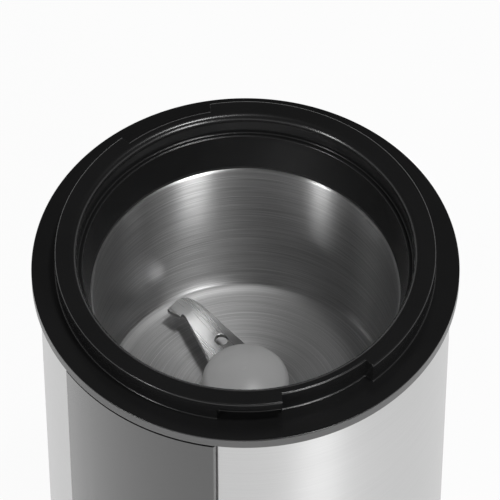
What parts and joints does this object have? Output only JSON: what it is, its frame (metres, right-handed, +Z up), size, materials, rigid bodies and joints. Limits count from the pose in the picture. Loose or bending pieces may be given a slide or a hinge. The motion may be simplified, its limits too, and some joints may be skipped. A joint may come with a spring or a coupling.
{
  "type": "electric spice grinder",
  "caption": "Electric spice grinder without its lid: brushed steel housing, black bayonet collar, fixed steel bowl with a bladed hub, grey front panel with a pulse button.",
  "frame": {"origin": "on the table, at the centre of the feet, on the blade's axis", "axes": "+Z up along the blade's axis; -Y is the front, where the panel and the button are; +Y is the back, where the cord enters"},
  "size_m": [0.108, 0.108, 0.1664],
  "materials": {
    "housing_steel": "satin, brushed round the body",
    "bowl_steel": "satin, brushed round the bowl",
    "blade_steel": "satin",
    "grey_satin": "satin",
    "black_plastic": "satin",
    "dome_grey": "semi-gloss",
    "button_black": "satin",
    "inner_plastic": "matte",
    "rubber": "matte",
    "zinc_steel": "plated",
    "spring_steel": "bright wire",
    "cast_aluminium": "as cast",
    "lamination": "stacked sheets",
    "copper": "enamelled wire",
    "bronze": "sintered",
    "brass": "drawn",
    "carbon": "pressed",
    "fan_plastic": "matte",
    "switch_plastic": "matte",
    "board_green": "lacquered",
    "capacitor_yellow": "gloss",
    "terminal_white": "matte"
  },
  "bodies": {
    "housing": {"housing_sleeve": "housing_steel", "front_panel": "grey_satin", "trim_ring": "grey_satin", "top_collar": "black_plastic", "grinding_bowl": "bowl_steel", "bowl_seal": "rubber", "inner_frame": "inner_plastic", "base_ring": "black_plastic", "base_plate": "black_plastic", "rubber_feet": "rubber", "base_screws": "zinc_steel", "collar_screws": "zinc_steel", "bearing_hub": "inner_plastic", "hub_nut": "zinc_steel", "hub_bush": "bronze", "shaft_seal": "rubber", "motor_upper_bracket": "cast_aluminium", "motor_lower_bracket": "cast_aluminium", "stator_core": "lamination", "field_coils": "copper", "motor_bolts": "zinc_steel", "motor_mounts": "rubber", "upper_bearing": "bronze", "lower_bearing": "bronze", "brush_holders": "brass", "carbon_brushes": "carbon", "brush_springs": "spring_steel", "brush_caps": "inner_plastic", "button_spring": "spring_steel", "switch_carrier": "inner_plastic", "carrier_screws": "zinc_steel", "pulse_switch": "switch_plastic", "interlock_spring": "spring_steel", "interlock_switch": "switch_plastic", "control_board": "board_green", "filter_capacitor": "capacitor_yellow", "terminal_block": "terminal_white", "cord_gland": "rubber"},
    "rotor": {"motor_shaft": "zinc_steel", "armature_core": "lamination", "armature_windings": "copper", "commutator": "copper", "thrust_washers": "zinc_steel", "cooling_fan": "fan_plastic", "blade_spacer": "zinc_steel", "blade": "blade_steel", "blade_nut": "zinc_steel", "hub_cap": "dome_grey"},
    "button": {"pulse_button": "button_black"},
    "lock_pin": {"interlock_pin": "button_black"}
  },
  "joints": [
    {"name": "blade_spin", "type": "hinge", "parent": "housing", "child": "rotor", "pos_m": [0, 0, 0.1], "axis": [0, 0, 1], "continuous": true},
    {"name": "button_press", "type": "slide", "parent": "housing", "child": "button", "axis": [0, 1, 0], "range_m": [0, 0.002], "stiffness_N_per_m": 600, "springref_m": -0.002, "deforming": ["button_spring"]},
    {"name": "interlock_press", "type": "slide", "parent": "housing", "child": "lock_pin", "axis": [0, 0, -1], "range_m": [0, 0.001], "stiffness_N_per_m": 400, "springref_m": -0.001, "deforming": ["interlock_spring"]}
  ]
}
